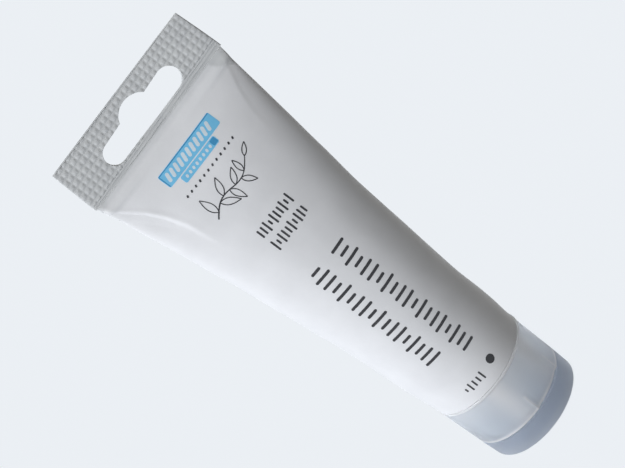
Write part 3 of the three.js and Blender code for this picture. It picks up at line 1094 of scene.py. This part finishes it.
def print_marks():
    """A blue panel with two rows, small rows and a sprig below it, and rows along and across."""
    blue, deep, white, black = Ink(), Ink(INK_PROUD + 0.02), Ink(INK_PROUD + 0.03), Ink()

    blue.stroke([(-11.1, 134.95), (11.3, 134.95)], 2.2, 0.5)
    slanted_row(white, 11, 1.75, (-9.6, 133.6), (-8.6, 136.2), 0.52, 0.5)
    deep.stroke([(-10.9, 136.9), (11.1, 136.9)], 0.16, 0.1)
    deep.stroke([(-10.8, 133.0), (-10.8, 136.9)], 0.16, 0.1)
    blue.stroke([(-7.4, 131.3), (7.2, 131.3)], 1.15, 0.5)
    deep.stroke([(5.2, 131.3), (7.0, 131.3)], 0.9, 0.3)
    slanted_row(white, 8, 1.45, (-5.85, 130.8), (-5.6, 131.75), 0.38, 0.35)

    slanted_row(black, 12, 1.83, (-10.4, 127.5), (-10.0, 128.2), 0.28, 0.2)
    draw_sprig(black)

    for row, z in enumerate((105.9, 100.7)):
        for k in range(10):
            half = 1.9 * uneven(k + 7 * row)
            at = -6.6 + 1.42 * k
            black.stroke([(at, z - half), (at, z + half)], 0.29, 0.25)

    for middle, top, count in ((3.55, 86.9, 20), (-5.9, 87.2, 18)):
        for k in range(count):
            half = 3.05 * uneven(k + count)
            at = top - 2.56 * k
            black.stroke([(middle - half, at), (middle + half, at)], 0.44, 0.4)

    for k in range(5):
        half = 1.5 * uneven(k + 3)
        black.stroke([(-7.6 + 1.6 * k, 29.2 - half), (-7.6 + 1.6 * k, 29.2 + half)], 0.26, 0.2)
    black.stroke([(3.9, 28.6), (3.9, 31.4)], 1.4, 1.38)

    blue.piece("print_blue", plain_material("blue_ink", (0.20, 0.62, 0.93), 0.32, 0.45))
    deep.piece("print_deep_blue", plain_material("deep_blue_ink", (0.05, 0.33, 0.62), 0.32, 0.45))
    white.piece("print_white", plain_material("white_ink", (0.76, 0.86, 0.92), 0.32, 0.45))
    black.piece("print_dark", plain_material("dark_ink", (0.035, 0.035, 0.04), 0.35, 0.5))


# ---------- build ----------

# Painted light on the base: an edge highlight at the seam, a light line at the rim beside the
# sleeve, and a whiter glow down from the sleeve for the lit neck seen through.
BASE_PAINTED_LIGHT_BANDS = [(SEAM_Z, 0.7, 1.2, 1), (CLOSURE_TOP_Z, 0.5, 0.8, 1), (CLOSURE_TOP_Z, 2, 9, 0.3)]
# Painted highlight streaks down the base's side.
BASE_HIGHLIGHT_STREAKS = [(-9, 13, 1.0), (45, 16, 1.0)]
# A painted highlight on the lid's end rim.
LID_RIM_HIGHLIGHT_BANDS = [(0, 0.2, 0.5, 0.6)]
# Hinge strips, as (piece, CAD node, half angle in radians, half height, share thinned away).
HINGE_STRIPS = [
    ("hinge_film", "hinge_web", 0.15, 1.5, 0.5),
    ("hinge_band_left", "hinge_strap_left", 0.07, 2.8, 0.3),
    ("hinge_band_right", "hinge_strap_right", 0.07, 2.8, 0.3),
]

skin = sleeve_skin()
mark_unfilled(skin)
dress(skin, film_material())
base_frosted = closure_material("frosted_base", (0.87, 0.92, 0.98), 0.75, 0.75)
# The lid is the same plastic as the base, coloured darker and bluer as painted shade.
lid_frosted_painted_shade = closure_material("frosted_lid_painted_shade", (0.565, 0.62, 0.71), 0.85, 0.6)
base = closure_base()
mark_milk_and_painted_light(base, BASE_PAINTED_LIGHT_BANDS, BASE_HIGHLIGHT_STREAKS, socket=True, painted_recess_highlight=True)
dress(base, base_frosted)
cap = closure_lid()
mark_milk_and_painted_light(cap, LID_RIM_HIGHLIGHT_BANDS)
dress(cap, lid_frosted_painted_shade)
dress(neck_and_shoulder(), plain_material("head_white", (0.9, 0.9, 0.88), 0.35, 0.5))
dress(paint_mass(), plain_material("white_paint", (0.92, 0.91, 0.88), 0.25, 0.4))
for strip in HINGE_STRIPS:
    dress(hinge_strip(*strip), base_frosted)
print_marks()

# ---------- floor and light, in metres ----------

PALE = (0.832, 0.866, 0.905)
STUDIO_RADIUS = 5.0
STUDIO_HEIGHT = 8.0
STUDIO_SIDES = 64
FLOOR_Z = -0.0002
WORLD_LEFT = (0.775, 0.815, 0.885, 1)
WORLD_RIGHT = (0.095, 0.088, 0.075, 1)
WORLD_TURN = 0.3  # how far to each side the light takes to change from one to the other
TUBE_MIDDLE = Vector((0, 0, 0.08))
# Softboxes, as (name, place, side, power, colour).
SOFTBOXES = [
    ("key", (-0.75, -0.5, 0.75), 0.5, 5.0, (1.0, 1.0, 1.0)),
    ("back_fill", (0.4, 0.75, 0.45), 0.6, 2.0, (1.0, 0.99, 0.97)),
]


def studio_surface(name, points, faces):
    """A plain pale surface that lights nothing, so the light on the object stays soft and even."""
    mesh = bpy.data.meshes.new(name)
    mesh.from_pydata(points, [], faces)
    surface = bpy.data.objects.new(name, mesh)
    bpy.context.scene.collection.objects.link(surface)
    material = bpy.data.materials.new("pale_" + name)
    material.use_nodes = True
    nodes, links = material.node_tree.nodes, material.node_tree.links
    nodes.clear()
    glow = nodes.new("ShaderNodeEmission")
    glow.inputs["Color"].default_value = (*PALE, 1)
    glow.inputs["Strength"].default_value = 1.0
    out = nodes.new("ShaderNodeOutputMaterial")
    links.new(glow.outputs["Emission"], out.inputs["Surface"])
    mesh.materials.append(material)
    surface.visible_diffuse = False
    return surface


def make_studio():
    """A round pale floor and a round wall at its edge, far from the object."""
    angles = np.arange(STUDIO_SIDES) * 2 * math.pi / STUDIO_SIDES
    x, y = STUDIO_RADIUS * np.cos(angles), STUDIO_RADIUS * np.sin(angles)
    floor_rim = [(float(a), float(b), FLOOR_Z) for a, b in zip(x, y)]
    wall_rim = [(float(a), float(b), STUDIO_HEIGHT) for a, b in zip(x, y)]
    studio_surface("floor", floor_rim, [tuple(range(STUDIO_SIDES))])
    wall = studio_surface("backdrop", floor_rim + wall_rim, grid_faces(2, STUDIO_SIDES))
    wall.visible_glossy = False
    wall.visible_shadow = False


def make_world():
    """Soft light all round: bright from the tube's left, dim and a little warm from its right."""
    world = bpy.data.worlds.new("studio")
    bpy.context.scene.world = world
    world.use_nodes = True
    nodes, links = world.node_tree.nodes, world.node_tree.links
    place = nodes.new("ShaderNodeTexCoord")
    split = nodes.new("ShaderNodeSeparateXYZ")
    links.new(place.outputs["Generated"], split.inputs["Vector"])
    spread = nodes.new("ShaderNodeMapRange")
    spread.inputs["From Min"].default_value = -WORLD_TURN
    spread.inputs["From Max"].default_value = WORLD_TURN
    links.new(split.outputs["X"], spread.inputs["Value"])
    ramp = nodes.new("ShaderNodeValToRGB")
    ramp.color_ramp.elements[0].color = WORLD_LEFT
    ramp.color_ramp.elements[1].color = WORLD_RIGHT
    links.new(spread.outputs["Result"], ramp.inputs["Fac"])
    background = nodes["Background"]
    links.new(ramp.outputs["Color"], background.inputs["Color"])
    background.inputs["Strength"].default_value = 1.0


def softbox(name, place, size, power, color):
    """A square soft light that faces the middle of the tube."""
    light = bpy.data.lights.new(name, "AREA")
    light.size = size
    light.energy = power
    light.color = color
    lamp = bpy.data.objects.new(name, light)
    lamp.location = place
    lamp.rotation_euler = (TUBE_MIDDLE - lamp.location).to_track_quat("-Z", "Y").to_euler()
    bpy.context.scene.collection.objects.link(lamp)


make_studio()
make_world()
for settings in SOFTBOXES:
    softbox(*settings)
bpy.context.scene.view_settings.view_transform = "Standard"
